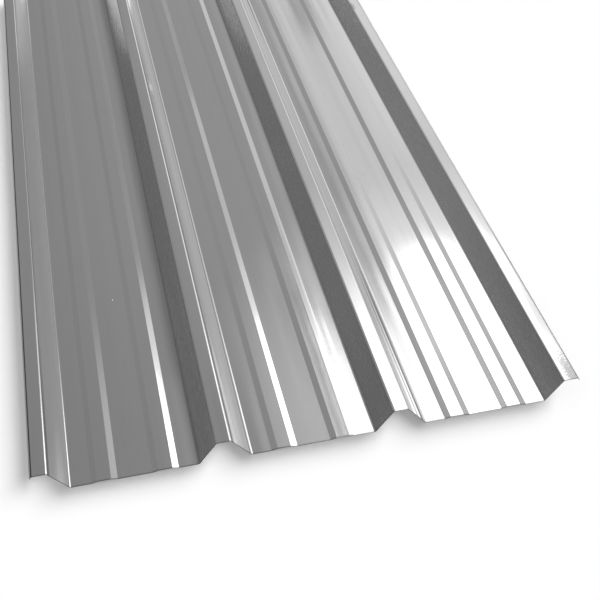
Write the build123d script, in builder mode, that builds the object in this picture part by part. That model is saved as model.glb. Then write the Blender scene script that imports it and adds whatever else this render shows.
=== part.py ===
from build123d import *
import os

# A trapezoidal ribbed roofing sheet: one length of roll-formed, zinc-coated steel.
# It lies as on a level floor, on the undersides of its flat pans. +X runs across the
# sheet, from rib to rib, +Y runs along the ribs, and +Z points up, out of the weather
# face. The origin is the middle of the sheet's width and length, in the plane that it
# rests on. Sizes are in millimetres, and the section's are those of the weather face.

# The blank
sheet_length = 2100.0
sheet_thickness = 0.75
bend_radius = 3.0  # on the inside of every bend

# The ribs and the pans between them
pan_count = 3
rib_pitch = 333.3
rib_height = 45.0  # from the underside of the pans to the top of the crowns
crown_width = 27.0
foot_width = 98.0  # across a rib, from pan to pan
lip_drop = 5.0  # the short leg that ends the sheet beside each edge rib

# The two shallow stiffeners in each pan
stiffener_offset = 56.0  # from the middle of the pan to the middle of the stiffener
stiffener_crown_width = 25.0
stiffener_ramp = 12.0  # the width of each sloping side
stiffener_height = 2.75

pan_level = sheet_thickness
stiffener_level = pan_level + stiffener_height
web_run = (foot_width - crown_width) / 2
web_rise = rib_height - pan_level
lip_run = lip_drop * web_run / web_rise

hollow_bend = bend_radius  # a bend whose inside is on the weather face
crest_bend = bend_radius + sheet_thickness  # a bend whose outside is on the weather face


def rib_corners(centre, first, last):
    """Sharp corners of one rib, from left to right, each with the radius of its bend."""
    crown_left = (centre - crown_width / 2, rib_height, crest_bend)
    crown_right = (centre + crown_width / 2, rib_height, crest_bend)
    if first:
        left_end = (crown_left[0] - lip_run, rib_height - lip_drop, None)
    else:
        left_end = (centre - foot_width / 2, pan_level, hollow_bend)
    if last:
        right_end = (crown_right[0] + lip_run, rib_height - lip_drop, None)
    else:
        right_end = (centre + foot_width / 2, pan_level, hollow_bend)
    return [left_end, crown_left, crown_right, right_end]


def stiffener_corners(centre):
    """Sharp corners of one stiffener, from left to right, each with the radius of its bend."""
    half_crown = stiffener_crown_width / 2
    half_foot = half_crown + stiffener_ramp
    return [
        (centre - half_foot, pan_level, hollow_bend),
        (centre - half_crown, stiffener_level, crest_bend),
        (centre + half_crown, stiffener_level, crest_bend),
        (centre + half_foot, pan_level, hollow_bend),
    ]


# The weather face's corners, from the left edge of the sheet to the right edge
corners = []
for rib in range(pan_count + 1):
    rib_centre = (rib - pan_count / 2) * rib_pitch
    corners += rib_corners(rib_centre, first=rib == 0, last=rib == pan_count)
    if rib < pan_count:
        pan_centre = rib_centre + rib_pitch / 2
        corners += stiffener_corners(pan_centre - stiffener_offset)
        corners += stiffener_corners(pan_centre + stiffener_offset)

corner_points = [(x, z) for x, z, _ in corners]
bend_radii = [radius for _, _, radius in corners[1:-1]]

# One strip of steel of even thickness: its weather face bent, then its thickness below
with BuildPart() as roofing_sheet:
    with BuildSketch(Plane.XZ):
        with BuildLine():
            FilletPolyline(*corner_points, radius=bend_radii)
            offset(amount=sheet_thickness, side=Side.RIGHT)
        make_face()
    extrude(amount=sheet_length / 2, both=True)

roofing_sheet.part.label = "roofing_sheet"

os.makedirs("parts", exist_ok=True)
export_step(roofing_sheet.part, "parts/roofing_sheet.step")
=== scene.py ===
import bpy
import math
import numpy as np
from mathutils import Matrix, Vector


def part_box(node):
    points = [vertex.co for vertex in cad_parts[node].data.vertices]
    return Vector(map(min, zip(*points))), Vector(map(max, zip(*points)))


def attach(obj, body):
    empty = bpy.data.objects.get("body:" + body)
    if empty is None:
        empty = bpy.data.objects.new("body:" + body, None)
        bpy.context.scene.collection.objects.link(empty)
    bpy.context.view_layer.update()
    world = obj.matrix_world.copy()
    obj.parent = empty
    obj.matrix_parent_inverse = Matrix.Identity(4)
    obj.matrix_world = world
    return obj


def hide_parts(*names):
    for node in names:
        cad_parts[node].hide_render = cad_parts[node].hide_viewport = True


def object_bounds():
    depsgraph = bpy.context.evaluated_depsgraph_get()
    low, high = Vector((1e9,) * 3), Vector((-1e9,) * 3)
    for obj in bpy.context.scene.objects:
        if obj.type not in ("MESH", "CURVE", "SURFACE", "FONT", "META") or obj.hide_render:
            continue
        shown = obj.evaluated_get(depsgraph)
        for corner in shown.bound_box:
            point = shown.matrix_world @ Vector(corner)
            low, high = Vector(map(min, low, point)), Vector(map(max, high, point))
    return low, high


# A ribbed roofing sheet of glossy zinc-coated steel on a white studio floor.
# Metres. +X across the ribs, +Y along them, +Z up out of the weather face.

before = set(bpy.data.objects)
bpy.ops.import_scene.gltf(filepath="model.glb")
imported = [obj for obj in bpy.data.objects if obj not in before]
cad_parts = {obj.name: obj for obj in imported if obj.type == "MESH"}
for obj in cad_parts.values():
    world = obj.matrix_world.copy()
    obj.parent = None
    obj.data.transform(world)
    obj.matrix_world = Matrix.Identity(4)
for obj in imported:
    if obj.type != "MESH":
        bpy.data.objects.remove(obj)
frameBox = [list(corner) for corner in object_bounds()]
print("frame loaded")


# Small helpers

def smooth(value, low, high):
    # eases from 0 at low to 1 at high: 3t^2 - 2t^3 of the clipped share t
    t = np.clip((value - low) / (high - low), 0, 1)
    return t * t * (3 - 2 * t)


def newMaterial(name):
    material = bpy.data.materials.new(name)
    material.use_nodes = True
    material.node_tree.nodes.clear()
    return material, material.node_tree


def addNode(tree, kind, **settings):
    # a node, with its settings and the values of its named or numbered inputs
    node = tree.nodes.new(kind)
    inputs = settings.pop("inputs", {})
    for key, value in settings.items():
        setattr(node, key, value)
    for key, value in inputs.items():
        if isinstance(value, bpy.types.NodeSocket):
            tree.links.new(value, node.inputs[key])
        else:
            node.inputs[key].default_value = value
    return node


def maths(tree, operation, *values, clamp=False):
    node = addNode(tree, "ShaderNodeMath", operation=operation, use_clamp=clamp,
                   inputs=dict(enumerate(values)))
    return node.outputs[0]


def mapRange(tree, value, fromMin, fromMax, toMin, toMax, style="SMOOTHSTEP"):
    node = addNode(tree, "ShaderNodeMapRange", interpolation_type=style,
                   inputs={0: value, 1: fromMin, 2: fromMax, 3: toMin, 4: toMax})
    return node.outputs[0]


def newGroup(name, inputs, outputs):
    # a shader node group, with its named float or vector inputs and its float outputs
    tree = bpy.data.node_groups.new(name, "ShaderNodeTree")
    for label, value in inputs.items():
        kind = "NodeSocketVector" if isinstance(value, tuple) else "NodeSocketFloat"
        socket = tree.interface.new_socket(label, in_out="INPUT", socket_type=kind)
        socket.default_value = value
    for label in outputs:
        tree.interface.new_socket(label, in_out="OUTPUT", socket_type="NodeSocketFloat")
    return tree, tree.nodes.new("NodeGroupInput").outputs, tree.nodes.new("NodeGroupOutput").inputs


# Camera

camera = {
    "place": (-0.29383, -2.56542, 1.61367),
    "pitch": 39.416,  # degrees below the horizon
    "turn": 10.469,  # degrees from +Y towards +X
    "roll": -2.728,
    "lens": 71.69,  # millimetres
    "sensor": 36,
    "farthest": 200,  # metres
}


def makeCamera(v):
    data = bpy.data.cameras.new("studioCamera")
    data.lens = v["lens"]
    data.sensor_width = v["sensor"]
    data.clip_end = v["farthest"]
    view = bpy.data.objects.new("studioCamera", data)
    turned = Matrix.Rotation(math.radians(-v["turn"]), 4, "Z")
    tipped = Matrix.Rotation(math.radians(90 - v["pitch"]), 4, "X")
    rolled = Matrix.Rotation(math.radians(v["roll"]), 4, "Z")
    view.matrix_world = Matrix.Translation(v["place"]) @ turned @ tipped @ rolled
    bpy.context.scene.collection.objects.link(view)
    bpy.context.scene.camera = view


makeCamera(camera)
print("camera placed")


# The sheet

sheet = {
    "thickness": 0.00075,
    "bend": 0.003,  # inside radius of every bend
    "pans": 3,
    "pitch": 0.3333,
    "height": 0.045,
    "crown": 0.027,
    "foot": 0.098,
    "lip": 0.005,
    "stiffenerOffset": 0.056,
    "stiffenerCrown": 0.025,
    "stiffenerRamp": 0.012,
    "stiffenerHeight": 0.00275,
    "webAngle": 30,  # degrees: what is steeper is a web or a lip
    "rampAngle": 5,  # and what lies between is a stiffener's ramp
    "runStep": 0.0073,  # mesh spacing along the section's straight runs
    "bendStep": 7.0,  # degrees of bend between two mesh lines
    "lengthStep": 0.0175,  # mesh spacing along the ribs
    "ease": 0.0013,  # how far a rib's bend still shows in the flats beside it
}


def sectionCorners(v):
    # the weather face's sharp corners and bend radii, from the left edge to the right edge
    low, high = v["thickness"], v["height"]
    hollow, crest = v["bend"], v["bend"] + v["thickness"]
    lipRun = v["lip"] * (v["foot"] - v["crown"]) / 2 / (high - low)
    corners = []
    for rib in range(v["pans"] + 1):
        middle = (rib - v["pans"] / 2) * v["pitch"]
        if rib == 0:
            corners.append((middle - v["crown"] / 2 - lipRun, high - v["lip"], 0))
        else:
            corners.append((middle - v["foot"] / 2, low, hollow))
        corners.append((middle - v["crown"] / 2, high, crest))
        corners.append((middle + v["crown"] / 2, high, crest))
        if rib == v["pans"]:
            corners.append((middle + v["crown"] / 2 + lipRun, high - v["lip"], 0))
            break
        corners.append((middle + v["foot"] / 2, low, hollow))
        for side in (-1, 1):
            stiffener = middle + v["pitch"] / 2 + side * v["stiffenerOffset"]
            inner = v["stiffenerCrown"] / 2
            outer = inner + v["stiffenerRamp"]
            corners.append((stiffener - outer, low, hollow))
            corners.append((stiffener - inner, low + v["stiffenerHeight"], crest))
            corners.append((stiffener + inner, low + v["stiffenerHeight"], crest))
            corners.append((stiffener + outer, low, hollow))
    return np.array(corners)


def numbered(mask):
    # 1, 2, 3 and so on where the mask is true, and 0 elsewhere
    return np.where(mask, np.cumsum(mask), 0)


def foldedLine(v, webShadeLines, lineCore):
    # The section as straight runs joined by arcs. At each corner the arc starts and ends
    # radius * tan(turn / 2) from the corner, and a point on it is the arc's centre less
    # side * radius * normal, where the normal's heading goes evenly from one run's to the next's.
    # The mesh's own normals turn a little more slowly at a rib's bends: over the ease as well.
    # A web has more mesh lines where each of its painted dark lines starts and is full.
    corners = sectionCorners(v)
    points, radii = corners[:, :2], corners[1:-1, 2]
    step = np.diff(points, axis=0)
    heading = np.arctan2(step[:, 1], step[:, 0])
    along = np.column_stack([np.cos(heading), np.sin(heading)])
    turn = np.diff(heading)
    cut = radii * np.tan(np.abs(turn) / 2)
    runStart = points[:-1] + along * np.append(0, cut)[:, None]
    runEnd = points[1:] - along * np.append(cut, 0)[:, None]
    wide = np.hypot(*(runEnd - runStart).T)
    down = heading < 0
    steep = np.abs(heading) > math.radians(v["webAngle"])
    ease = np.where(np.abs(turn) > math.radians(v["webAngle"]), v["ease"], 0)
    eased = ease / (2 * ease + radii * np.abs(turn))
    before, after = np.append(0, ease), np.append(ease, 0)
    rightWebs = np.flatnonzero(steep & down)
    extra = [[] for run in step]
    for rib, share, half, *_ in webShadeLines:
        core = lineCore * half
        extra[rightWebs[rib]] += [share - half, share - core, share + core, share + half]
    parts = []
    for run in range(len(step)):
        plain = wide[run] - before[run] - after[run]
        count = max(1, math.ceil(plain / v["runStep"]))
        t = before[run] + np.linspace(0, plain, count + 1)
        t = np.unique(np.concatenate([[0, 1], t / wide[run], extra[run]]))[:, None]
        place = runStart[run] + (runEnd[run] - runStart[run]) * t
        flat = np.full(len(t), heading[run])
        lean = flat.copy()
        if before[run]:
            fromStart = t[:, 0] * wide[run] / before[run]
            lean -= turn[run - 1] * eased[run - 1] * np.clip(1 - fromStart, 0, 1)
        if after[run]:
            fromEnd = (1 - t[:, 0]) * wide[run] / after[run]
            lean += turn[run] * eased[run] * np.clip(1 - fromEnd, 0, 1)
        parts.append(np.column_stack([place, flat, t, np.full(len(t), run), np.zeros(len(t)), lean]))
        if run == len(step) - 1:
            break
        count = max(3, math.ceil(math.degrees(abs(turn[run])) / v["bendStep"]))
        t = np.linspace(0, 1, count + 1)[1:-1]
        side = np.sign(turn[run]) * radii[run]
        angle = heading[run] + turn[run] * t
        centre = runEnd[run] + side * np.array([-np.sin(heading[run]), np.cos(heading[run])])
        place = centre - side * np.column_stack([-np.sin(angle), np.cos(angle)])
        lean = heading[run] + turn[run] * (eased[run] + (1 - 2 * eased[run]) * t)
        ones = np.ones(len(t))
        parts.append(np.column_stack([place, angle, ones, run * ones, np.sin(math.pi * t), lean]))
    line = np.concatenate(parts)
    run, straight = line[:, 4].astype(int), line[:, 5] == 0
    rib = np.clip(np.round(line[:, 0] / v["pitch"] + v["pans"] / 2), 0, v["pans"]).astype(int)
    web = steep[run] & (run > 0) & (run < len(step) - 1)
    ramps = (np.abs(heading) > math.radians(v["rampAngle"])) & ~steep
    leftRamps, rightRamps = numbered(ramps & ~down), numbered(ramps & down)
    return {
        # of each straight run
        "wide": wide, "steep": steep, "down": down,
        # of each line of the mesh: its place and directions, and its share of its run's width
        "x": line[:, 0], "z": line[:, 1], "heading": line[:, 2], "lean": line[:, 6],
        "share": line[:, 3], "run": run, "curve": line[:, 5], "rib": rib,
        "foot": (line[:, 1] < v["height"] / 2).astype(int),
        # which kind of place it is: on a web, on a bend beside one, or on the pan left of one
        "web": web, "left": web & straight & ~down[run], "right": web & straight & down[run],
        "leftBend": besideRun(steep & ~down, run), "rightBend": besideRun(steep & down, run),
        "leftPan": np.append((steep & ~down)[1:], False)[run] & straight & ~steep[run],
        # the number of the stiffener whose ramp or top it is on, or 0
        "leftRamp": leftRamps[run] * straight, "rightRamp": rightRamps[run] * straight,
        "top": np.append(0, leftRamps[:-1])[run] * straight,
    }


def besideRun(runs, run):
    # whether a line's own run or the next one is among the given runs
    return runs[run] | np.append(runs, False)[run + 1]


waviness = {
    "depth": 0.0002,  # metres, on a flat of this width
    "width": 0.06,
    "most": 1.3,  # times that depth, on wider flats
    "webShare": (0.3, 0.06),  # how much of it the webs have that face right, and left
    "lift": 0.3,  # how far a flat's own mean is from it, up or down
    "slow": (0.5, 0.9),  # share of it, and metres from crest to crest along the sheet
    "quick": (0.2, 0.31),
    "seed": 7,
}


def wavyField(line, y, w):
    # How far the sheet stands off its nominal place, with its slopes across and along it.
    # Every straight run bulges by sin^2(pi t) over its width, times a sum of two sines
    # along the sheet, and only outwards, so that the sheet's resting faces stay put.
    random = np.random.default_rng(w["seed"])
    runs = line["run"].max() + 1
    phases = random.uniform(0, 2 * math.pi, (2, runs))
    lift = random.uniform(-w["lift"], w["lift"], runs)
    wide, steep = line["wide"], line["steep"]
    strength = w["depth"] * np.clip((wide / w["width"]) ** 2, 0, w["most"])
    strength = strength * np.where(steep, np.where(line["down"], *w["webShare"]), 1)
    wave, rise = 1 + lift[:, None], 0
    for (share, step), phase in zip((w["slow"], w["quick"]), phases):
        turn = 2 * math.pi * y[None, :] / step + phase[:, None]
        wave = wave + share * np.sin(turn)
        rise = rise + share * np.cos(turn) * 2 * math.pi / step
    flat = line["curve"] == 0
    hump = np.sin(math.pi * line["share"]) ** 2 * flat
    slope = np.sin(2 * math.pi * line["share"]) * math.pi / wide[line["run"]] * flat
    wave, rise = (strength[:, None] * wave)[line["run"]], (strength[:, None] * rise)[line["run"]]
    return hump[:, None] * wave, slope[:, None] * wave, hump[:, None] * rise


def gridFaces(rows, columns, first, flip):
    # corner numbers of the faces between neighbouring points of a rows x columns grid
    r, c = np.meshgrid(np.arange(rows - 1), np.arange(columns - 1), indexing="ij")
    a = first + r * columns + c
    order = [a, a + columns, a + columns + 1, a + 1]
    if flip:
        order.reverse()
    return np.stack(order, axis=-1).reshape(-1, 4)


# Painted light and shade on this sheet, which stand in for what its faces mirror, and how dull its webs
# are. Lists go from rib to rib, and a right web is the one on the right of its rib. Where a value
# changes along the sheet, its last two numbers are the distances from the sheet's middle where the
# change starts and is full.
paintedLightAndDull = {
    "leftTone": (1.0, 0.95, 0.92, 1.14),  # painted light: how pale each web is painted, for the light it mirrors
    "rightTone": (0.9, 1.0, 1.15, 1.0),
    # painted highlight: how much paler the left webs are painted towards the near end, start, full
    "leftFade": ((0.0, 0.0, 1.0), (-0.06, 0.6, 1.0), (-0.2, 0.65, 1.05), (-0.3, 0.3, 1.1)),
    "leftDull": 0.65,  # how dull the webs are: 1 is as webDull of the coat says
    "rightDull": (1.0, 0.15, 0.15, 0.0),
    # painted highlight on the bends at each crown and foot, and painted shade where it is below 0
    "leftBends": ((-1.2, 0.0), (0.25, -1.2), (0.25, -0.3), (1.0, 0.2)),
    "otherBends": 0.25,
    # and right of each rib, at its crown and its foot: near the sheet's ends, between, start, full
    "rightBends": (
        ((0.8, -0.9, 0.4, 0.7), (0.6, -1.0, 0.62, 0.9)),
        ((-0.1, 1.5, 0.75, 1.0), (0.4, 0.4, 0.5, 0.85)),
        ((0.9, 1.3, 0.5, 0.85), (0.9, 1.9, 0.5, 0.85)),
        ((3.0, 0.0, 0.45, 0.65), (0.0, 0.0, 0.5, 0.85)),
    ),
    # painted shade: the thin dark line beside a web's bends: how wide it is at the feet of the right
    # webs, and
    # how much narrower it is at their crowns and on the left webs
    "footLines": (0.3, 1.0, 0.3, 1.0),
    "crownNarrower": 2,
    "leftNarrower": 3,
    "noLine": 0.05,  # metres from a bend, on what is no web
    # painted shade: dark lines on right webs: rib, share of the web's width, half width, depth near the
    # ends and
    # between, start, full
    "webLines": (
        (2, 0.105, 0.05, 0.5, 0.2, 0.5, 0.8),
        (2, 0.24, 0.1, 0.4, 0.0, 0.6, 0.95),
        (2, 0.55, 0.07, 0.6, 0.1, 0.4, 0.8),
        (2, 0.825, 0.12, 0.97, 0.05, 0.4, 0.8),
        (1, 0.07, 0.06, 0.5, 0.3, 0.6, 1.0),
        (0, 0.07, 0.06, 0.5, 0.1, 0.6, 1.0),
    ),
    "lineCore": 0.4,  # share of a line's half width that has its full depth
    # painted shade: how dark the pan gets where it meets the left web, over what width, with what curve
    "footShade": (0.0, 0.32, 0.1, 0.0),
    "footReach": 0.013,
    "footCurve": 1.3,
    # painted light: stiffener by stiffener, how pale its left ramp is painted, and its right one, with
    # how much paler that gets towards the near end, start, full
    "leftRamps": (0.99, 1.04, 1.09, 1.05, 1.05, 1.07),
    "rightRamps": (
        (0.92, 0.14, 0.6, 0.9),
        (0.91, 0.5, 0.35, 0.6),
        (0.87, 0.16, 0.3, 0.55),
        (0.82, 0.26, 0.55, 0.85),
        (1.0, -0.22, 0.8, 1.0),
        (1.14, -0.2, -0.05, 0.4),
    ),
    # painted highlight: a right ramp whose lower half gets paler towards the near end: number, how much,
    # start, full
    "paleRamp": (4, 0.5, 0.2, 0.5),
    # painted reflection: a stiffener's top that gets uneven there: number, how much paler at its left
    # edge and at its right edge, start, full
    "unevenTop": (4, 0.3, -0.38, 0.55, 0.8),
    # painted shade: the dark rims of the left and the right lip: near the ends, between
    "lipRims": ((0.75, 0.75), (0.92, 0.12)),
    "lipChange": (0.45, 0.65),  # start, full
    "lipReach": (0.0066, 0.0078),  # metres from the edge where a rim starts to fade and is gone
    # painted highlight: the pale wedge at each right web's ends: share of its width where its middle is,
    # half width, metres that it reaches in, how full it is, level
    "wedges": (
        (0.62, 0.34, 0.19, 1.0, 0.4),
        (0.18, 0.2, 0.38, 2.3, 1.0),
        (0.6, 0.4, 0.6, 1.3, 0.4),
        (0.5, 0.5, 0.1, 1.0, 0.0),
    ),
}


def lineMarks(line, m):
    # Marks that are even along the sheet: how far into a web a line is from its nearest bend,
    # stretched where the line beside the bend is narrower, how pale it is painted as painted light and
    # shade, and how dull.
    rib, share, run = line["rib"], line["share"], line["run"]
    left, right, wide = line["left"], line["right"], line["wide"][run]
    inside = np.minimum(share, 1 - share) * wide * (line["curve"] == 0)
    atFoot = inside / np.array(m["footLines"])[rib]
    inside = np.where(right, np.where(share > 0.5, atFoot, m["crownNarrower"] * inside), inside)
    inside = inside * np.where(line["down"][run], 1, m["leftNarrower"])
    # painted light and shade: the painted tones of the webs, of the pans beside them and of the ramps
    tone = np.ones(len(rib))
    tone[left] = np.array(m["leftTone"])[rib[left]]
    tone[right] = np.array(m["rightTone"])[rib[right]]
    # painted shade on the pan at the left web's foot
    shade = np.clip(1 - (1 - share) * wide / m["footReach"], 0, 1) ** m["footCurve"]
    tone = np.where(line["leftPan"], 1 - np.array(m["footShade"])[rib] * shade, tone)
    for ramp, pale in ((line["leftRamp"], np.array(m["leftRamps"])),
                       (line["rightRamp"], np.array(m["rightRamps"])[:, 0])):
        tone = np.where(ramp > 0, pale[np.maximum(ramp - 1, 0)], tone)
    dull = right * np.array(m["rightDull"])[rib] + left * m["leftDull"]
    return {"crease": np.where(line["web"], inside, m["noLine"]), "tone": tone, "web": dull}


def bendMark(line, y, m):
    # the painted highlight on each bend, and painted shade where it is below 0
    rib, foot = line["rib"], line["foot"]
    atEnds, between, start, full = np.array(m["rightBends"])[rib, foot].T[:, :, None]
    shine = between + (atEnds - between) * smooth(np.abs(y)[None, :], start, full)
    plain = np.where(line["leftBend"], np.array(m["leftBends"])[rib, foot], m["otherBends"])
    return np.where(line["rightBend"][:, None], shine, plain[:, None]) * line["curve"][:, None]


def paintedLightMark(line, y, end, fromLeft, m):
    # How much paler each point is painted, or darker below 0: painted highlights, painted reflections
    # and painted shade.
    # A wedge is full at the sheet's end and narrows to a point at its reach, and what darkens multiplies
    # what is there.
    rib, share, right = line["rib"][:, None], line["share"][:, None], line["right"][:, None]
    outwards, towardsNear = np.abs(y)[None, :], -y[None, :]
    middle, half, reach, fullness, level = np.array(m["wedges"])[line["rib"]].T[:, :, None]
    into = np.clip(1 - (end - outwards) / reach, 0, 1)
    aside = np.abs(share - middle) / np.maximum(half * into ** 0.5, 0.001)
    paintedLight = right * level * np.clip(fullness * into, 0, 1) ** 1.5 * smooth(1 - aside, 0, 1)
    onRamp = np.array(m["rightRamps"])[np.maximum(line["rightRamp"] - 1, 0), 1:]
    for fades, here in ((onRamp, line["rightRamp"] > 0),
                        (np.array(m["leftFade"])[line["rib"]], line["left"])):
        added, start, full = fades.T[:, :, None]
        paintedLight = paintedLight + here[:, None] * added * smooth(towardsNear, start, full)
    number, added, start, full = m["paleRamp"]
    lower = np.clip(2 * share - 1, 0, 1) * (line["rightRamp"][:, None] == number)
    paintedLight = paintedLight + added * lower * smooth(towardsNear, start, full)
    number, atLeft, atRight, start, full = m["unevenTop"]
    added = (atLeft + (atRight - atLeft) * share) * (line["top"][:, None] == number)
    paintedLight = paintedLight + added * smooth(towardsNear, start, full)
    # painted shade: the dark lines on the right webs
    for ownRib, place, half, atEnds, between, start, full in m["webLines"]:
        across = np.clip((1 - np.abs(share - place) / half) / (1 - m["lineCore"]), 0, 1)
        dark = between + (atEnds - between) * smooth(outwards, start, full)
        paintedLight = (1 + paintedLight) * (1 - across * right * (rib == ownRib) * dark) - 1
    change = smooth(outwards, *m["lipChange"])
    for (atEnds, between), fromEdge in zip(m["lipRims"], (fromLeft, fromLeft[-1] - fromLeft)):
        rim = 1 - smooth(fromEdge, *m["lipReach"])[:, None]
        paintedLight = (1 + paintedLight) * (1 - rim * (between + (atEnds - between) * change)) - 1
    return paintedLight


def makeSheet(v, w, m):
    # The weather face is the folded line carried along Y, and the back face is the same
    # points moved by the thickness against the line's normal. Four thin walls close it.
    # The normal of a point is the line's normal less the wave's slopes times their directions.
    line = foldedLine(v, m["webLines"], m["lineCore"])
    low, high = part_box("roofing_sheet")
    y = np.linspace(low.y, high.y, math.ceil((high.y - low.y) / v["lengthStep"]) + 1)
    off, slopeAcross, slopeAlong = wavyField(line, y, w)
    shape = off.shape
    sine, cosine = np.sin(line["lean"])[:, None], np.cos(line["lean"])[:, None]
    facing = np.stack([-sine - slopeAcross * cosine, -slopeAlong, cosine - slopeAcross * sine], axis=-1)
    sine, cosine = np.sin(line["heading"])[:, None], np.cos(line["heading"])[:, None]
    facing = (facing / np.linalg.norm(facing, axis=-1, keepdims=True)).reshape(-1, 3)
    fromLeft = np.append(0, np.cumsum(np.hypot(np.diff(line["x"]), np.diff(line["z"]))))
    place = np.stack(np.broadcast_arrays(fromLeft[:, None], y), axis=-1).reshape(-1, 2)
    points, normals, faces, kinds, texture = [], [], [], [], []
    for side, depth in ((1, 0), (-1, v["thickness"])):
        x = line["x"][:, None] - sine * (off - depth)
        z = line["z"][:, None] + cosine * (off - depth)
        points.append(np.stack([x, np.broadcast_to(y, shape), z], axis=-1).reshape(-1, 3))
        normals.append(facing * side)
        texture.append(place)
    count, (lines, columns) = len(facing), shape
    faces += [gridFaces(lines, columns, 0, False), gridFaces(lines, columns, count, True)]
    kinds += [np.zeros(len(faces[0]), int), np.ones(len(faces[1]), int)]
    index = np.arange(count).reshape(shape)
    lean = [np.array([math.cos(h), 0, math.sin(h)]) for h in line["heading"][[0, -1]]]
    walls = ((index[:, 0], (0, -1, 0), False), (index[:, -1], (0, 1, 0), True),
             (index[0], -lean[0], True), (index[-1], lean[1], False))
    for edge, outward, flip in walls:
        # a wall has points of its own, so that the sheet's arris stays crisp
        first = sum(len(part) for part in points)
        points.append(np.concatenate([points[0][edge], points[1][edge]]))
        normals.append(np.tile(outward, (2 * len(edge), 1)))
        texture.append(np.concatenate([place[edge], place[edge]]))
        faces.append(gridFaces(2, len(edge), first, flip))
        kinds.append(np.full(len(edge) - 1, 2))
    marks = {"bend": bendMark(line, y, m).ravel()}
    for name, value in lineMarks(line, m).items():
        marks[name] = np.repeat(value, columns)
    marks["paintedLight"] = paintedLightMark(line, y, high.y, fromLeft, m).ravel()
    onWalls = np.zeros(sum(len(part) for part in points) - 2 * count)
    return {"points": np.concatenate(points), "normals": np.concatenate(normals),
            "faces": np.concatenate(faces), "kinds": np.concatenate(kinds),
            "texture": np.concatenate(texture),
            "marks": {name: np.concatenate([value, value, onWalls]) for name, value in marks.items()}}


def buildMesh(name, shape, materials):
    faces = shape["faces"]
    mesh = bpy.data.meshes.new(name)
    mesh.vertices.add(len(shape["points"]))
    mesh.vertices.foreach_set("co", shape["points"].ravel())
    mesh.loops.add(faces.size)
    mesh.loops.foreach_set("vertex_index", faces.ravel())
    mesh.polygons.add(len(faces))
    mesh.polygons.foreach_set("loop_start", np.arange(0, faces.size, 4))
    mesh.polygons.foreach_set("use_smooth", np.ones(len(faces), bool))
    mesh.polygons.foreach_set("material_index", shape["kinds"])
    layer = mesh.uv_layers.new(name="sheetPlace")
    layer.data.foreach_set("uv", shape["texture"][faces.ravel()].ravel())
    for label, value in shape["marks"].items():
        mesh.attributes.new(label, "FLOAT", "POINT").data.foreach_set("value", value)
    for material in materials:
        mesh.materials.append(material)
    mesh.update(calc_edges=True)
    mesh.validate()
    mesh.normals_split_custom_set_from_vertices(shape["normals"])
    piece = bpy.data.objects.new(name, mesh)
    bpy.context.scene.collection.objects.link(piece)
    return piece


# The finish: a glossy zinc-alloy coat, drawn out along the rolling direction

noiseSpan = (0.25, 0.75)  # where nearly all of a noise texture's values lie
markShape = {
    "grainShare": 0.08,  # size of the grain's streaks beside the bands'
    "spread": (0.60, 0.74),  # levels of noise from which a rubbed place starts and is full
    "fine": (0.48, 0.66),  # and a spot in it
    "scuffWaves": 260.0,  # per metre, of the noise in a scuff
    "scuffSpan": (0.3, 0.7),
    "scuffRagged": 0.45,
    "scuffFull": 1.4,  # above 1, its middle is whole
    "scuffFade": 0.8,  # share of its size where it starts to fade
    "rimCore": 0.4,  # share of the rims' width that is all painted shade
}


def makeRollingStreaks(v):
    # noise stretched along the sheet, once in broad soft bands and once as a fine grain
    tree, given, out = newGroup("rollingStreaks", {"Place": (0.0, 0.0, 0.0), "Wide": 0.012,
                                                   "Long": 0.6}, ["Streak", "Grain"])
    for label, share in (("Streak", 1), ("Grain", v["grainShare"])):
        size = addNode(tree, "ShaderNodeCombineXYZ", inputs={
            0: maths(tree, "MULTIPLY", given["Wide"], share),
            1: maths(tree, "MULTIPLY", given["Long"], share), 2: 1})
        drawn = addNode(tree, "ShaderNodeVectorMath", operation="DIVIDE",
                        inputs={0: given["Place"], 1: size.outputs[0]})
        noise = addNode(tree, "ShaderNodeTexNoise", noise_dimensions="2D",
                        inputs={"Vector": drawn.outputs[0], "Scale": 1.0, "Detail": 3.0})
        tree.links.new(mapRange(tree, noise.outputs[0], *noiseSpan, 0, 1, "LINEAR"), out[label])
    return tree


def makeHandlingMarks(v):
    # faint rubbed spots: a fine mottle that shows only where a broad noise is high
    tree, given, out = newGroup("handlingMarks", {"Place": (0.0, 0.0, 0.0), "Spread": 0.16,
                                                  "Fine": 0.006}, ["Rubbed"])
    levels = []
    for label, span in (("Spread", v["spread"]), ("Fine", v["fine"])):
        shrunk = addNode(tree, "ShaderNodeVectorMath", operation="SCALE", inputs={
            0: given["Place"], "Scale": maths(tree, "DIVIDE", 1.0, given[label])})
        noise = addNode(tree, "ShaderNodeTexNoise", noise_dimensions="2D",
                        inputs={"Vector": shrunk.outputs[0], "Scale": 1.0, "Detail": 2.0})
        levels.append(mapRange(tree, noise.outputs[0], *span, 0, 1))
    tree.links.new(maths(tree, "MULTIPLY", *levels), out["Rubbed"])
    return tree


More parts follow.
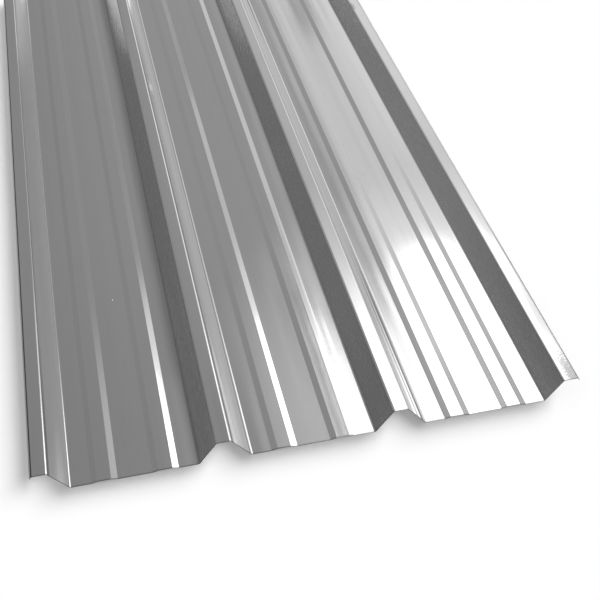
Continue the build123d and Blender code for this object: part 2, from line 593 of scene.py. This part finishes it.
def makeScuff(v):
    # one mottled scuff, an ellipse in the sheet's own X and Y
    tree, given, out = newGroup("scuff", {"Place": (0.0, 0.0, 0.0), "Middle": (0.0, 0.0, 0.0),
                                          "Half": (1.0, 1.0, 1.0)}, ["Scuffed"])
    offset = addNode(tree, "ShaderNodeVectorMath", operation="SUBTRACT",
                     inputs={0: given["Place"], 1: given["Middle"]})
    shrunk = addNode(tree, "ShaderNodeVectorMath", operation="DIVIDE",
                     inputs={0: offset.outputs[0], 1: given["Half"]})
    length = addNode(tree, "ShaderNodeVectorMath", operation="LENGTH", inputs={0: shrunk.outputs[0]})
    reach = length.outputs["Value"]
    fine = addNode(tree, "ShaderNodeTexNoise", noise_dimensions="2D",
                   inputs={"Vector": given["Place"], "Scale": v["scuffWaves"], "Detail": 3.0})
    ragged = v["scuffRagged"]
    mottle = mapRange(tree, fine.outputs[0], *v["scuffSpan"], -ragged, ragged, "LINEAR")
    inside = maths(tree, "MULTIPLY_ADD", reach, -v["scuffFull"], v["scuffFull"])
    edge = mapRange(tree, reach, v["scuffFade"], 1, 1, 0)
    mask = mapRange(tree, maths(tree, "ADD", inside, mottle), 0, 1, 0, 1)
    tree.links.new(maths(tree, "MULTIPLY", mask, edge), out["Scuffed"])
    return tree


def makeEndRimShade(v):
    # how near a place is to the sheet's ends, for the painted shade along them: 1 in the rim's core, and
    # 0 from Width on
    tree, given, out = newGroup("endRimShade", {"Place": (0.0, 0.0, 0.0), "Half Length": 1.0,
                                            "Width": 0.002}, ["Rim"])
    parts = addNode(tree, "ShaderNodeSeparateXYZ", inputs={0: given["Place"]})
    fromEnd = maths(tree, "SUBTRACT", given["Half Length"], maths(tree, "ABSOLUTE", parts.outputs[1]))
    nearest = maths(tree, "DIVIDE", fromEnd, given["Width"])
    tree.links.new(mapRange(tree, nearest, v["rimCore"], 1.0, 1, 0), out["Rim"])
    return tree


groups = {
    "streaks": makeRollingStreaks(markShape),
    "rubbed": makeHandlingMarks(markShape),
    "scuff": makeScuff(markShape),
    "rim": makeEndRimShade(markShape),
}

weatherCoat = {
    "colour": (0.605, 0.606, 0.604),
    "roughness": 0.10,
    "streak": (0.012, 0.9),  # metres across and along
    "bands": 0.012,  # how much the broad bands lighten and darken the coat
    "bandsRough": 0.12,  # and change its roughness
    "grain": 0.010,
    "grainRough": 0.15,
    "bump": 0.000004,
    "rubbed": (0.16, 0.006),  # metres from one rubbed place to the next, and from spot to spot
    "rubbedDull": 0.04,  # added roughness
    "rubbedDark": 0.03,
    "rimWidth": 0.0024,  # painted shade: the dark strip along the sheared ends
    "rimDark": 0.5,
    "rimDull": 0.1,
    "creasePlace": 0.003,  # painted shade: a thin dark line on a web, beside each of its bends
    "creaseWidth": 0.002,
    "creaseDark": 0.6,
    "bendHighlight": 0.4,  # painted highlight: how much paler a bend is painted
    "bendPolish": 0.02,  # roughness that the rolls take off a bend
    "webDull": 0.26,  # and leave on the webs, where they only slide
    # scuffs and specks: middle, half size, how much darker, or paler where that is negative
    "scuffs": (
        ((0.505, -1.04, 0.045), (0.014, 0.085, 1), 0.46),
        ((0.49, 0.6, 0.045), (0.008, 0.03, 1), 0.3),
        ((-0.142, 0.31, 0.031), (0.006, 0.045, 1), -1.0),
        ((-0.327, -0.5346, 0), (0.002, 0.0025, 1), -3.0),
    ),
    "scuffDull": 0.3,
}
backCoat = dict(weatherCoat, colour=(0.57, 0.575, 0.58), roughness=0.17, bands=0.02, grain=0.02)
cutFace = {
    # bare steel, painted darker as painted shade along the cut edges
    "colour": (0.12, 0.12, 0.122),
    "roughness": 0.42,
    "streak": (0.0006, 0.003),
    "bands": 0.35,
    "grainRough": 0.25,
    "bump": 0.00002,
}


def scaled(tree, value, amount):
    # a value from 0 to 1 turned into a factor from 1 - amount to 1 + amount
    return maths(tree, "MULTIPLY_ADD", maths(tree, "SUBTRACT", value, 0.5), 2 * amount, 1.0)


def addGroup(tree, name, inputs):
    return addNode(tree, "ShaderNodeGroup", node_tree=groups[name], inputs=inputs).outputs


def makeMetal(tree, v, tone, rough, relief):
    # the shader of bare or coated metal, whose colour is the table's times the tone
    colour = addNode(tree, "ShaderNodeVectorMath", operation="SCALE",
                     inputs={0: v["colour"], "Scale": tone})
    bump = addNode(tree, "ShaderNodeBump", inputs={
        "Strength": 1.0, "Distance": v["bump"], "Height": relief})
    shader = addNode(tree, "ShaderNodeBsdfPrincipled", inputs={
        "Base Color": colour.outputs[0], "Metallic": 1.0, "Roughness": rough, "Normal": bump.outputs[0]})
    addNode(tree, "ShaderNodeOutputMaterial", inputs={"Surface": shader.outputs[0]})


def makeCoat(name, v, halfLength):
    material, tree = newMaterial(name)
    place = addNode(tree, "ShaderNodeUVMap", uv_map="sheetPlace").outputs[0]
    own = addNode(tree, "ShaderNodeTexCoord").outputs["Object"]
    bend, crease, web, paintedLight, tone = [
        addNode(tree, "ShaderNodeAttribute", attribute_name=mark).outputs["Fac"]
        for mark in ("bend", "crease", "web", "paintedLight", "tone")]
    wide, long = v["streak"]
    streaks = addGroup(tree, "streaks", {"Place": place, "Wide": wide, "Long": long})
    streak, grain = streaks["Streak"], streaks["Grain"]
    spread, fine = v["rubbed"]
    rubbed = addGroup(tree, "rubbed", {"Place": place, "Spread": spread, "Fine": fine})[0]
    rubbed = maths(tree, "MULTIPLY", rubbed, maths(tree, "SUBTRACT", 1.0, web))
    rim = addGroup(tree, "rim", {"Place": place, "Half Length": halfLength, "Width": v["rimWidth"]})[0]
    scuffed = 0.0
    for middle, half, dark in v["scuffs"]:
        mark = addGroup(tree, "scuff", {"Place": own, "Middle": middle, "Half": half})[0]
        scuffed = maths(tree, "MULTIPLY_ADD", mark, dark, scuffed)
    # the painted shade beside each bend of a web
    aside = maths(tree, "ABSOLUTE", maths(tree, "SUBTRACT", crease, v["creasePlace"]))
    line = mapRange(tree, aside, 0, v["creaseWidth"], v["creaseDark"], 0)
    for noise, amount in ((streak, v["bands"]), (grain, v["grain"])):
        tone = maths(tree, "MULTIPLY", tone, scaled(tree, noise, amount))
    # the coat's colour: real rubbing and scuffs, painted shade on the end rims and beside the bends of
    # webs, and the painted highlights and painted shade of the bends and of the painted-light mark
    for mask, dark in ((rubbed, v["rubbedDark"]), (rim, v["rimDark"]), (line, 1),
                       (scuffed, 1), (bend, -v["bendHighlight"]), (paintedLight, -1)):
        tone = maths(tree, "MULTIPLY", tone, maths(tree, "MULTIPLY_ADD", mask, -dark, 1.0))
    rough = v["roughness"]
    for noise, amount in ((streak, v["bandsRough"]), (grain, v["grainRough"])):
        rough = maths(tree, "MULTIPLY", rough, scaled(tree, noise, amount))
    for mask, added in ((rubbed, v["rubbedDull"]), (maths(tree, "ABSOLUTE", scuffed), v["scuffDull"]),
                        (rim, v["rimDull"]), (bend, -v["bendPolish"]), (web, v["webDull"])):
        rough = maths(tree, "MULTIPLY_ADD", mask, added, rough)
    makeMetal(tree, v, tone, rough, grain)
    return material


def makeCutSteel(v):
    # the sheared edge: bare steel with short lines across its thickness
    material, tree = newMaterial("cutSteel")
    place = addNode(tree, "ShaderNodeTexCoord").outputs["Object"]
    parts = addNode(tree, "ShaderNodeSeparateXYZ", inputs={0: place})
    along = addNode(tree, "ShaderNodeCombineXYZ", inputs={
        0: maths(tree, "ADD", parts.outputs[0], parts.outputs[1]), 1: parts.outputs[2], 2: 0})
    wide, long = v["streak"]
    streaks = addGroup(tree, "streaks", {"Place": along.outputs[0], "Wide": wide, "Long": long})
    tone = scaled(tree, streaks["Streak"], v["bands"])
    rough = maths(tree, "MULTIPLY", scaled(tree, streaks["Grain"], v["grainRough"]), v["roughness"])
    makeMetal(tree, v, tone, rough, streaks["Streak"])
    return material


sheetShape = makeSheet(sheet, waviness, paintedLightAndDull)
halfLength = float(sheetShape["texture"][:, 1].max())
sheetFinish = [makeCoat("zincCoat", weatherCoat, halfLength),
               makeCoat("zincBack", backCoat, halfLength), makeCutSteel(cutFace)]
print("finish made")

roofingSheet = buildMesh("roofingSheet", sheetShape, sheetFinish)
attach(roofingSheet, "root")
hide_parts("roofing_sheet")
roofingSheet.visible_shadow = False  # the studio's flag casts it
print("sheet made,", len(roofingSheet.data.polygons), "faces")


# The studio

studio = {
    "floorColour": 0.80,
    "floorGlow": 0.20,
    "floorHalf": 40,
    "skyLevel": 0.38,  # the even part of the light on the floor
    "keyLevel": 3.45,
    "keyTurn": 40,  # degrees from +Y towards +X
    "keyHeight": 35,  # degrees above the floor
    "keySoft": 31,  # degrees across
    "wallDark": 0.24,  # what the metal mirrors low on the left
    "wallLow": 0.42,  # and on the right, at the horizon
    "wallHigh": 1.0,
    "wallTurn": (-0.45, 0.35),  # X of the direction, from dark to pale
    "wallRise": (0.05, 0.25),  # Z of the direction, from low to high
}
shade = {
    "height": 0.045,
    "near": 0.021,  # how far its near and left edges lie inside the sheet's
    "left": 0.007,
    "notchShift": 0.019,  # its notches stand this far to the right of the ribs
    "notchHalf": (0.038, 0.012),  # half their width, at the mouth and at the end
    "notchDepth": 0.055,
}
ceiling = {
    "height": 1.34,
    "low": (-2.5, -1.25),
    "high": (3.4, 5.45),
    "dark": 0.439,
    "pale": 0.893,
    "turn": (0.39, 0.72),  # it pales from the first X to the second
    # slow changes: X where it starts, X where it is full, how much
    "drifts": ((0.258, -0.963, -0.085), (1.3, 2.2, -0.091), (2.2, 2.45, 0.08)),
    "nearDim": 0.078,  # how much less it gives at its near side
    "nearSpan": (0.1, 1.8),  # Y where that starts to ease off and is gone
    # a rounded rectangle: turned so many degrees, half its size, the radius of its corners, half
    # the width of its soft edge
    "scrim": {"middle": (0.765, 0.238, 0), "turn": -14, "half": (0.25, 0.956, 0), "corner": 0.25,
              "soft": 0.12, "level": 2.245},
    "fray": (0.05, 25, 4),  # how ragged the scrim's rim is: depth, waves per metre of X and of Y
    # such rectangles that are added to what is there
    "boxes": {
        "core": {"middle": (0.765, 0.238, 0), "turn": -14, "half": (0.14, 0.8, 0), "corner": 0.14,
                 "soft": 0.1, "level": 0.2},
        "diffuser": {"middle": (1.03, 0.204, 0), "turn": 5.3, "half": (0.813, 1.337, 0),
                     "corner": 0.813, "soft": 0.242, "level": 0.228},
        "fill": {"middle": (1.08, 0.05, 0), "turn": 0, "half": (0.22, 0.4, 0), "corner": 0.2,
                 "soft": 0.15, "level": 0.7},
        "sideBox": {"middle": (2.9, 0.7, 0), "turn": 0, "half": (0.55, 1.3, 0), "corner": 0.3,
                    "soft": 0.3, "level": 1.5},
        "patch": {"middle": (-0.16, 0.35, 0), "turn": 0, "half": (0.055, 0.3, 0), "corner": 0.03,
                  "soft": 0.03, "level": 0.07},
        "kicker": {"middle": (0.388, 0.93, 0), "turn": 0, "half": (0.022, 0.26, 0), "corner": 0.02,
                   "soft": 0.05, "level": 0.26},
        "flag": {"middle": (0.437, 0.76, 0), "turn": -6, "half": (0.032, 0.15, 0), "corner": 0.02,
                 "soft": 0.03, "level": -0.3},
    },
    # Strips that are added: X and half width of the left edge, the same of the right edge, Y where
    # it starts to fade and is gone, level. Where those Y lie off the card it is full all along.
    "strips": (
        (0.38, 0.008, 0.7, 0.1, 0.5, 1.11, 0.84),
        (0.093, 0.005, 3.0, 0.1, 0.3, 1.1, 0.157),
        (0.386, 0.006, 0.409, 0.006, 0.79, 0.9, 2.1),
        (0.5, 0.01, 0.6, 0.02, 0.95, 1.25, 0.2),
        (0.5, 0.03, 0.62, 0.03, 9.0, 10.0, 0.06),
        (0.72, 0.012, 0.8, 0.02, 9.0, 10.0, 0.06),
        (0.39, 0.02, 0.48, 0.02, 1.9, 2.6, 0.05),
        (0.66, 0.01, 0.7, 0.02, 0.78, 0.92, 0.25),
        (0.613, 0.01, 0.643, 0.004, 1.05, 1.4, 0.35),
        (1.0, 0.02, 1.24, 0.04, 2.4, 1.5, 0.12),
    ),
    # dark seams: X, half width, depth, Y where it starts to fade and is gone, as above
    "seams": (
        (-0.153, 0.037, 0.42, 1.03, 0.08),
        (0.66, 0.122, 0.5, -3.0, -4.0),
        (0.346, 0.05, 0.48, 0.95, 1.25),
        (-0.06, 0.05, 0.16, 0.25, 0.9),
        (1.85, 0.4, 0.22, 0.7, 1.3),
        (0.455, 0.04, 0.15, 0.8, 1.0),
        (0.672, 0.08, 0.23, 1.05, 1.3),
        (0.9, 0.12, 0.45, 3.4, 2.9),
        (0.853, 0.1, 0.09, 1.9, 1.2),
    ),
}


def visibleRay(tree):
    # 1 for what the camera sees, straight or mirrored, and 0 for the light that falls on things
    path = addNode(tree, "ShaderNodeLightPath")
    seen = maths(tree, "ADD", path.outputs["Is Camera Ray"], path.outputs["Is Glossy Ray"], clamp=True)
    return maths(tree, "ADD", seen, path.outputs["Is Transmission Ray"], clamp=True)


def makePlane(name, low, high, height, material):
    mesh = bpy.data.meshes.new(name)
    corners = [(low[0], low[1], height), (high[0], low[1], height),
               (high[0], high[1], height), (low[0], high[1], height)]
    mesh.from_pydata(corners, [], [(0, 1, 2, 3)])
    mesh.materials.append(material)
    plane = bpy.data.objects.new(name, mesh)
    bpy.context.scene.collection.objects.link(plane)
    return plane


def makeFloor(v):
    material, tree = newMaterial("whiteFloor")
    paint = addNode(tree, "ShaderNodeBsdfDiffuse", inputs={"Color": (v["floorColour"],) * 3 + (1,)})
    glow = addNode(tree, "ShaderNodeEmission", inputs={
        "Color": (1, 1, 1, 1), "Strength": maths(tree, "MULTIPLY", visibleRay(tree), v["floorGlow"])})
    both = addNode(tree, "ShaderNodeAddShader", inputs={0: paint.outputs[0], 1: glow.outputs[0]})
    addNode(tree, "ShaderNodeOutputMaterial", inputs={"Surface": both.outputs[0]})
    low, high = (-v["floorHalf"],) * 2, (v["floorHalf"],) * 2
    makePlane("floor", low, high, 0, material)


def direction(turn, height):
    # the unit vector towards a compass turn from +Y and a height above the horizon
    turn, height = math.radians(turn), math.radians(height)
    return (math.sin(turn) * math.cos(height), math.cos(turn) * math.cos(height), math.sin(height))


def makeWorld(v):
    # White to the camera, even daylight on the floor, and to the metal a wall that is dark on
    # the left and paler with height on the right.
    world = bpy.data.worlds.new("studio")
    world.use_nodes = True
    tree = world.node_tree
    tree.nodes.clear()
    path = addNode(tree, "ShaderNodeLightPath")
    towards = addNode(tree, "ShaderNodeTexCoord").outputs["Generated"]
    parts = addNode(tree, "ShaderNodeSeparateXYZ", inputs={0: towards})
    pale = mapRange(tree, parts.outputs[2], *v["wallRise"], v["wallLow"], v["wallHigh"], "LINEAR")
    right = mapRange(tree, parts.outputs[0], *v["wallTurn"], 0, 1)
    wall = addNode(tree, "ShaderNodeMix", data_type="FLOAT",
                   inputs={0: right, 2: v["wallDark"], 3: pale})
    seenInMetal = maths(tree, "ADD", path.outputs["Is Glossy Ray"],
                        path.outputs["Is Transmission Ray"], clamp=True)
    plain = mapRange(tree, path.outputs["Is Camera Ray"], 0, 1, v["skyLevel"], 1.0, "LINEAR")
    level = addNode(tree, "ShaderNodeMix", data_type="FLOAT",
                    inputs={0: seenInMetal, 2: plain, 3: wall.outputs[0]})
    background = addNode(tree, "ShaderNodeBackground", inputs={
        "Color": (1, 1, 1, 1), "Strength": level.outputs[0]})
    addNode(tree, "ShaderNodeOutputWorld", inputs={"Surface": background.outputs[0]})
    bpy.context.scene.world = world


def makeKeyLight(v):
    # a broad soft light from the back right, which gives the floor its shadow
    data = bpy.data.lights.new("keyLight", "SUN")
    data.energy = v["keyLevel"]
    data.angle = math.radians(v["keySoft"])
    lamp = bpy.data.objects.new("keyLight", data)
    towards = Vector(direction(v["keyTurn"], v["keyHeight"]))
    lamp.matrix_world = towards.to_track_quat("Z", "Y").to_matrix().to_4x4()
    lamp.visible_camera = False
    lamp.visible_glossy = False
    bpy.context.scene.collection.objects.link(lamp)


def makeShade(v, s):
    # A flag over the sheet, seen by no eye and no mirror, gives the floor its soft shadow.
    # Its near edge is the sheet's, drawn back at every rib, as the rib's open end lets light in.
    low, high = frameBox
    near, depth = low[1] + v["near"], v["notchDepth"]
    mouth, end = v["notchHalf"]
    across, along = [], []
    for rib in range(s["pans"] + 1):
        middle = (rib - s["pans"] / 2) * s["pitch"] + v["notchShift"]
        across += [middle - mouth, middle - end, middle + end, middle + mouth]
        along += [near, near + depth, near + depth, near]
    sides = np.array([low[0] + v["left"], high[0]])
    inside = [x for x in across if sides[0] < x < sides[1]]
    x = np.array([sides[0], *inside, sides[1]])
    y = np.interp(x, across, along)
    count = len(x)
    corners = [(x[i], y[i], v["height"]) for i in range(count)]
    corners += [(x[i], high[1], v["height"]) for i in range(count)]
    mesh = bpy.data.meshes.new("shadeFlag")
    mesh.from_pydata(corners, [], [(i, i + 1, count + i + 1, count + i) for i in range(count - 1)])
    flag = bpy.data.objects.new("shadeFlag", mesh)
    bpy.context.scene.collection.objects.link(flag)
    flag.visible_camera = False
    flag.visible_glossy = False


def makeCeiling(v):
    # Grey on the left and pale on the right, with a softbox behind a scrim, whose ragged rim the
    # metal mirrors, and smaller lamps, strips and seams.
    # The distance from a rounded rectangle is the length of the place beyond its straight
    # part, less the radius of its corners.
    material, tree = newMaterial("ceilingCard")
    place = addNode(tree, "ShaderNodeTexCoord").outputs["Object"]
    parts = addNode(tree, "ShaderNodeSeparateXYZ", inputs={0: place})
    x, y = parts.outputs[0], parts.outputs[1]
    depth, acrossWaves, alongWaves = v["fray"]
    drawn = addNode(tree, "ShaderNodeVectorMath", operation="MULTIPLY",
                    inputs={0: place, 1: (acrossWaves, alongWaves, 0)})
    noise = addNode(tree, "ShaderNodeTexNoise", noise_dimensions="2D",
                    inputs={"Vector": drawn.outputs[0], "Scale": 1.0, "Detail": 1.0})
    ragged = mapRange(tree, noise.outputs[0], *noiseSpan, -depth, depth, "LINEAR")

    def insideOf(box, fray=False):
        turned = addNode(tree, "ShaderNodeMapping", vector_type="TEXTURE", inputs={
            "Vector": place, "Location": box["middle"], "Rotation": (0, 0, math.radians(box["turn"]))})
        ground = addNode(tree, "ShaderNodeVectorMath", operation="MULTIPLY",
                         inputs={0: turned.outputs[0], 1: (1, 1, 0)})
        oneSide = addNode(tree, "ShaderNodeVectorMath", operation="ABSOLUTE",
                          inputs={0: ground.outputs[0]})
        beyond = addNode(tree, "ShaderNodeVectorMath", operation="SUBTRACT", inputs={
            0: oneSide.outputs[0], 1: [max(0, half - box["corner"]) for half in box["half"]]})
        outside = addNode(tree, "ShaderNodeVectorMath", operation="MAXIMUM",
                          inputs={0: beyond.outputs[0], 1: (0, 0, 0)})
        reach = addNode(tree, "ShaderNodeVectorMath", operation="LENGTH", inputs={0: outside.outputs[0]})
        reach = maths(tree, "ADD", reach.outputs["Value"], ragged) if fray else reach.outputs["Value"]
        soft, corner = box["soft"], box["corner"]
        return mapRange(tree, reach, corner - soft, corner + soft, 1, 0)

    level = mapRange(tree, x, *v["turn"], v["dark"], v["pale"])
    for start, full, change in v["drifts"]:
        level = maths(tree, "ADD", level, mapRange(tree, x, start, full, 0, change))
    level = maths(tree, "MULTIPLY", level, mapRange(tree, y, *v["nearSpan"], 1 - v["nearDim"], 1))
    level = addNode(tree, "ShaderNodeMix", data_type="FLOAT", inputs={
        0: insideOf(v["scrim"], fray=True), 2: level, 3: v["scrim"]["level"]}).outputs[0]
    for box in v["boxes"].values():
        level = maths(tree, "MULTIPLY_ADD", insideOf(box), box["level"], level)
    for left, leftHalf, right, rightHalf, full, gone, added in v["strips"]:
        strip = maths(tree, "MULTIPLY", mapRange(tree, x, left - leftHalf, left + leftHalf, 0, added),
                      mapRange(tree, x, right - rightHalf, right + rightHalf, 1, 0))
        strip = maths(tree, "MULTIPLY", strip, mapRange(tree, y, full, gone, 1, 0))
        level = maths(tree, "ADD", level, strip)
    for middle, half, depth, full, gone in v["seams"]:
        offset = maths(tree, "ABSOLUTE", maths(tree, "SUBTRACT", x, middle))
        seam = maths(tree, "MULTIPLY", mapRange(tree, offset, 0, half, depth, 0),
                     mapRange(tree, y, gone, full, 0, 1))
        level = maths(tree, "MULTIPLY", level, maths(tree, "SUBTRACT", 1.0, seam))
    glow = addNode(tree, "ShaderNodeEmission", inputs={"Strength": level})
    addNode(tree, "ShaderNodeOutputMaterial", inputs={"Surface": glow.outputs[0]})
    card = makePlane("ceilingCard", v["low"], v["high"], v["height"], material)
    card.visible_camera = False
    card.visible_diffuse = False
    card.visible_shadow = False


makeFloor(studio)
makeWorld(studio)
makeKeyLight(studio)
makeShade(shade, sheet)
makeCeiling(ceiling)
bpy.context.scene.view_settings.view_transform = "Standard"
print("studio lit")
